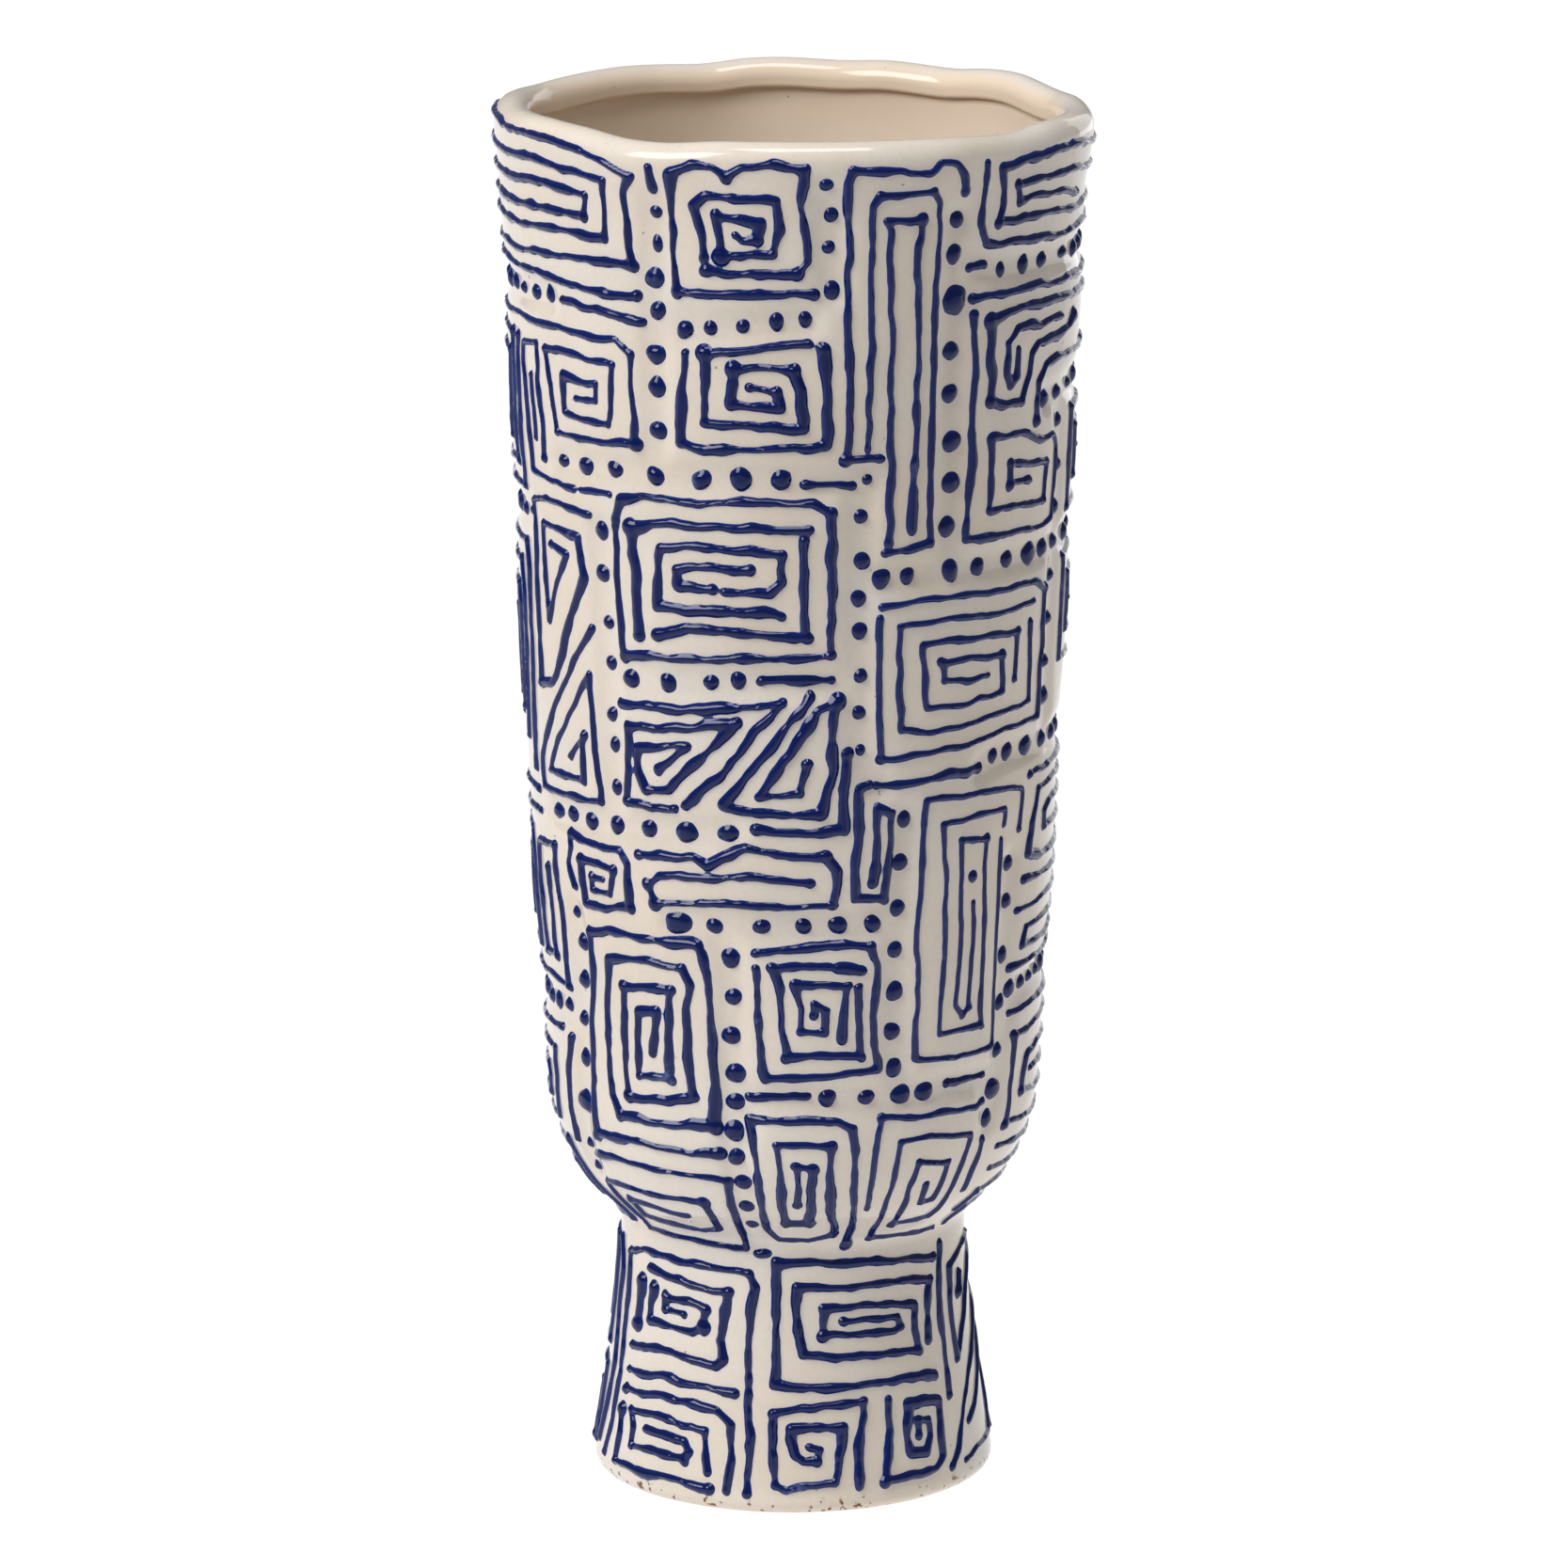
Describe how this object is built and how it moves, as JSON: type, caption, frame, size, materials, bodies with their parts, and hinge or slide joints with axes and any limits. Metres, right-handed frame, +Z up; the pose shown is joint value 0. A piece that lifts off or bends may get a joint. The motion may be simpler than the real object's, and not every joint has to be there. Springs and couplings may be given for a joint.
{
  "type": "talavera pottery vase",
  "caption": "Tall cream-glazed pottery vase on a hollow flared foot, its outside covered with raised cobalt slip trails: squared key spirals, triangles and rows of dots.",
  "frame": {"origin": "centre of the foot ring's underside, on the vase's axis", "axes": "+Z up along the vase's axis to the mouth; -Y towards the front, the side the decoration was taken from; +X to the right as seen from the front"},
  "size_m": [0.1418, 0.1422, 0.331],
  "materials": {
    "cream_glaze": "gloss",
    "cobalt_slip": "gloss",
    "bare_clay": "satin"
  },
  "bodies": {
    "root": {"foot": "cream_glaze", "bowl": "cream_glaze", "floor": "bare_clay", "wall": "cream_glaze", "lip_band": "cream_glaze", "key_lip_left": "cobalt_slip", "key_lip_front": "cobalt_slip", "key_tall_front": "cobalt_slip", "key_lip_right": "cobalt_slip", "key_neck_left": "cobalt_slip", "key_neck_front": "cobalt_slip", "key_narrow_left": "cobalt_slip", "key_neck_right": "cobalt_slip", "key_side_right": "cobalt_slip", "key_far_left": "cobalt_slip", "key_far_right": "cobalt_slip", "key_wide_front": "cobalt_slip", "key_wide_right": "cobalt_slip", "triangle_upper_left": "cobalt_slip", "triangle_lower_left": "cobalt_slip", "slant_front": "cobalt_slip", "triangle_front": "cobalt_slip", "key_long_front": "cobalt_slip", "key_narrow_front": "cobalt_slip", "key_small_left": "cobalt_slip", "key_tall_left": "cobalt_slip", "key_square_front": "cobalt_slip", "key_tall_right": "cobalt_slip", "key_stack_right": "cobalt_slip", "key_stack_left": "cobalt_slip", "key_bowl_left": "cobalt_slip", "key_bowl_front": "cobalt_slip", "key_bowl_right": "cobalt_slip", "key_bowl_far_left": "cobalt_slip", "foot_key_left": "cobalt_slip", "foot_key_low_left": "cobalt_slip", "foot_key_front": "cobalt_slip", "foot_key_low_front": "cobalt_slip", "foot_key_low_right": "cobalt_slip", "foot_slant_right": "cobalt_slip", "foot_key_far_left": "cobalt_slip", "key_lip_back": "cobalt_slip", "key_neck_back": "cobalt_slip", "key_wide_back": "cobalt_slip", "triangle_back": "cobalt_slip", "key_tall_back": "cobalt_slip", "key_bowl_back": "cobalt_slip", "foot_key_back": "cobalt_slip", "foot_key_low_back": "cobalt_slip", "dashes": "cobalt_slip", "dots_upper_columns": "cobalt_slip", "dots_middle_columns": "cobalt_slip", "dots_lower_columns": "cobalt_slip", "dots_upper_rows": "cobalt_slip", "dots_middle_rows": "cobalt_slip", "dots_lower_rows": "cobalt_slip", "dots_back": "cobalt_slip"}
  },
  "joints": []
}
